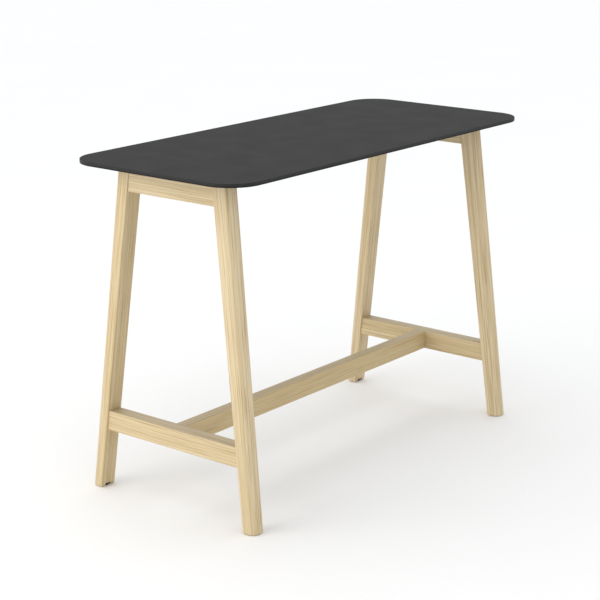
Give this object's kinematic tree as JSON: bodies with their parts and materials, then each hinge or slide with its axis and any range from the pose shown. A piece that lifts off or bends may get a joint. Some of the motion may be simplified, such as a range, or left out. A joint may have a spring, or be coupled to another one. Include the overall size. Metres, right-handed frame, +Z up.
{
  "type": "standing meeting table",
  "caption": "Bar-height meeting table: a thin round-cornered black top on splayed wooden end frames joined by a low stretcher, with levelling glides.",
  "frame": {"origin": "on the floor under the middle of the table", "axes": "+X along the table, +Y across it, +Z up; left is -X and front is -Y"},
  "size_m": [1.6, 0.703, 1.11],
  "materials": {
    "compact_laminate": "black compact laminate, fine matt texture, its square edge a solid black core",
    "ash_wood": "pale straight-grained ash under a clear matt lacquer",
    "beech_dowel": "plain beech dowel",
    "black_steel": "fine-textured black powder coat on steel",
    "black_screws": "black-oxide steel",
    "zinc_steel": "bright zinc plate",
    "black_nylon": "moulded black nylon"
  },
  "bodies": {
    "table": {"tabletop": "compact_laminate", "front_left_leg": "ash_wood", "back_left_leg": "ash_wood", "front_right_leg": "ash_wood", "back_right_leg": "ash_wood", "left_upper_rail": "ash_wood", "left_lower_rail": "ash_wood", "right_upper_rail": "ash_wood", "right_lower_rail": "ash_wood", "stretcher": "ash_wood", "front_beam": "black_steel", "back_beam": "black_steel", "left_upper_dowels": "beech_dowel", "left_lower_dowels": "beech_dowel", "left_stretcher_dowels": "beech_dowel", "left_stretcher_insert": "zinc_steel", "left_stretcher_stud": "zinc_steel", "left_stretcher_washer": "zinc_steel", "left_stretcher_nut": "zinc_steel", "left_plate_inserts": "zinc_steel", "left_beam_plates": "black_steel", "left_plate_screws": "black_screws", "left_top_screws": "black_screws", "right_upper_dowels": "beech_dowel", "right_lower_dowels": "beech_dowel", "right_stretcher_dowels": "beech_dowel", "right_stretcher_insert": "zinc_steel", "right_stretcher_stud": "zinc_steel", "right_stretcher_washer": "zinc_steel", "right_stretcher_nut": "zinc_steel", "right_plate_inserts": "zinc_steel", "right_beam_plates": "black_steel", "right_plate_screws": "black_screws", "right_top_screws": "black_screws", "front_left_glide_sleeve": "zinc_steel", "back_left_glide_sleeve": "zinc_steel", "front_right_glide_sleeve": "zinc_steel", "back_right_glide_sleeve": "zinc_steel", "beam_top_screws": "black_screws", "rail_top_inserts": "zinc_steel", "beam_top_inserts": "zinc_steel"},
    "front_left_foot": {"front_left_glide_base": "black_nylon"},
    "front_left_screw": {"front_left_glide_stud": "black_screws"},
    "back_left_foot": {"back_left_glide_base": "black_nylon"},
    "back_left_screw": {"back_left_glide_stud": "black_screws"},
    "front_right_foot": {"front_right_glide_base": "black_nylon"},
    "front_right_screw": {"front_right_glide_stud": "black_screws"},
    "back_right_foot": {"back_right_glide_base": "black_nylon"},
    "back_right_screw": {"back_right_glide_stud": "black_screws"}
  },
  "joints": [
    {"name": "front_left_glide_height", "type": "slide", "parent": "table", "child": "front_left_foot", "axis": [0, 0, -1], "range_m": [0, 0.01]},
    {"name": "front_left_glide_turn", "type": "hinge", "parent": "front_left_foot", "child": "front_left_screw", "pos_m": [-0.701, -0.321, 0.01], "axis": [0, 0, -1], "range_deg": [0, 2880]},
    {"name": "back_left_glide_height", "type": "slide", "parent": "table", "child": "back_left_foot", "axis": [0, 0, -1], "range_m": [0, 0.01]},
    {"name": "back_left_glide_turn", "type": "hinge", "parent": "back_left_foot", "child": "back_left_screw", "pos_m": [-0.701, 0.321, 0.01], "axis": [0, 0, -1], "range_deg": [0, 2880]},
    {"name": "front_right_glide_height", "type": "slide", "parent": "table", "child": "front_right_foot", "axis": [0, 0, -1], "range_m": [0, 0.01]},
    {"name": "front_right_glide_turn", "type": "hinge", "parent": "front_right_foot", "child": "front_right_screw", "pos_m": [0.701, -0.321, 0.01], "axis": [0, 0, -1], "range_deg": [0, 2880]},
    {"name": "back_right_glide_height", "type": "slide", "parent": "table", "child": "back_right_foot", "axis": [0, 0, -1], "range_m": [0, 0.01]},
    {"name": "back_right_glide_turn", "type": "hinge", "parent": "back_right_foot", "child": "back_right_screw", "pos_m": [0.701, 0.321, 0.01], "axis": [0, 0, -1], "range_deg": [0, 2880]}
  ],
  "couplings": [
    {"joint": "front_left_glide_turn", "follows": "front_left_glide_height", "rad_per_m": 5026.5},
    {"joint": "back_left_glide_turn", "follows": "back_left_glide_height", "rad_per_m": 5026.5},
    {"joint": "front_right_glide_turn", "follows": "front_right_glide_height", "rad_per_m": 5026.5},
    {"joint": "back_right_glide_turn", "follows": "back_right_glide_height", "rad_per_m": 5026.5}
  ]
}
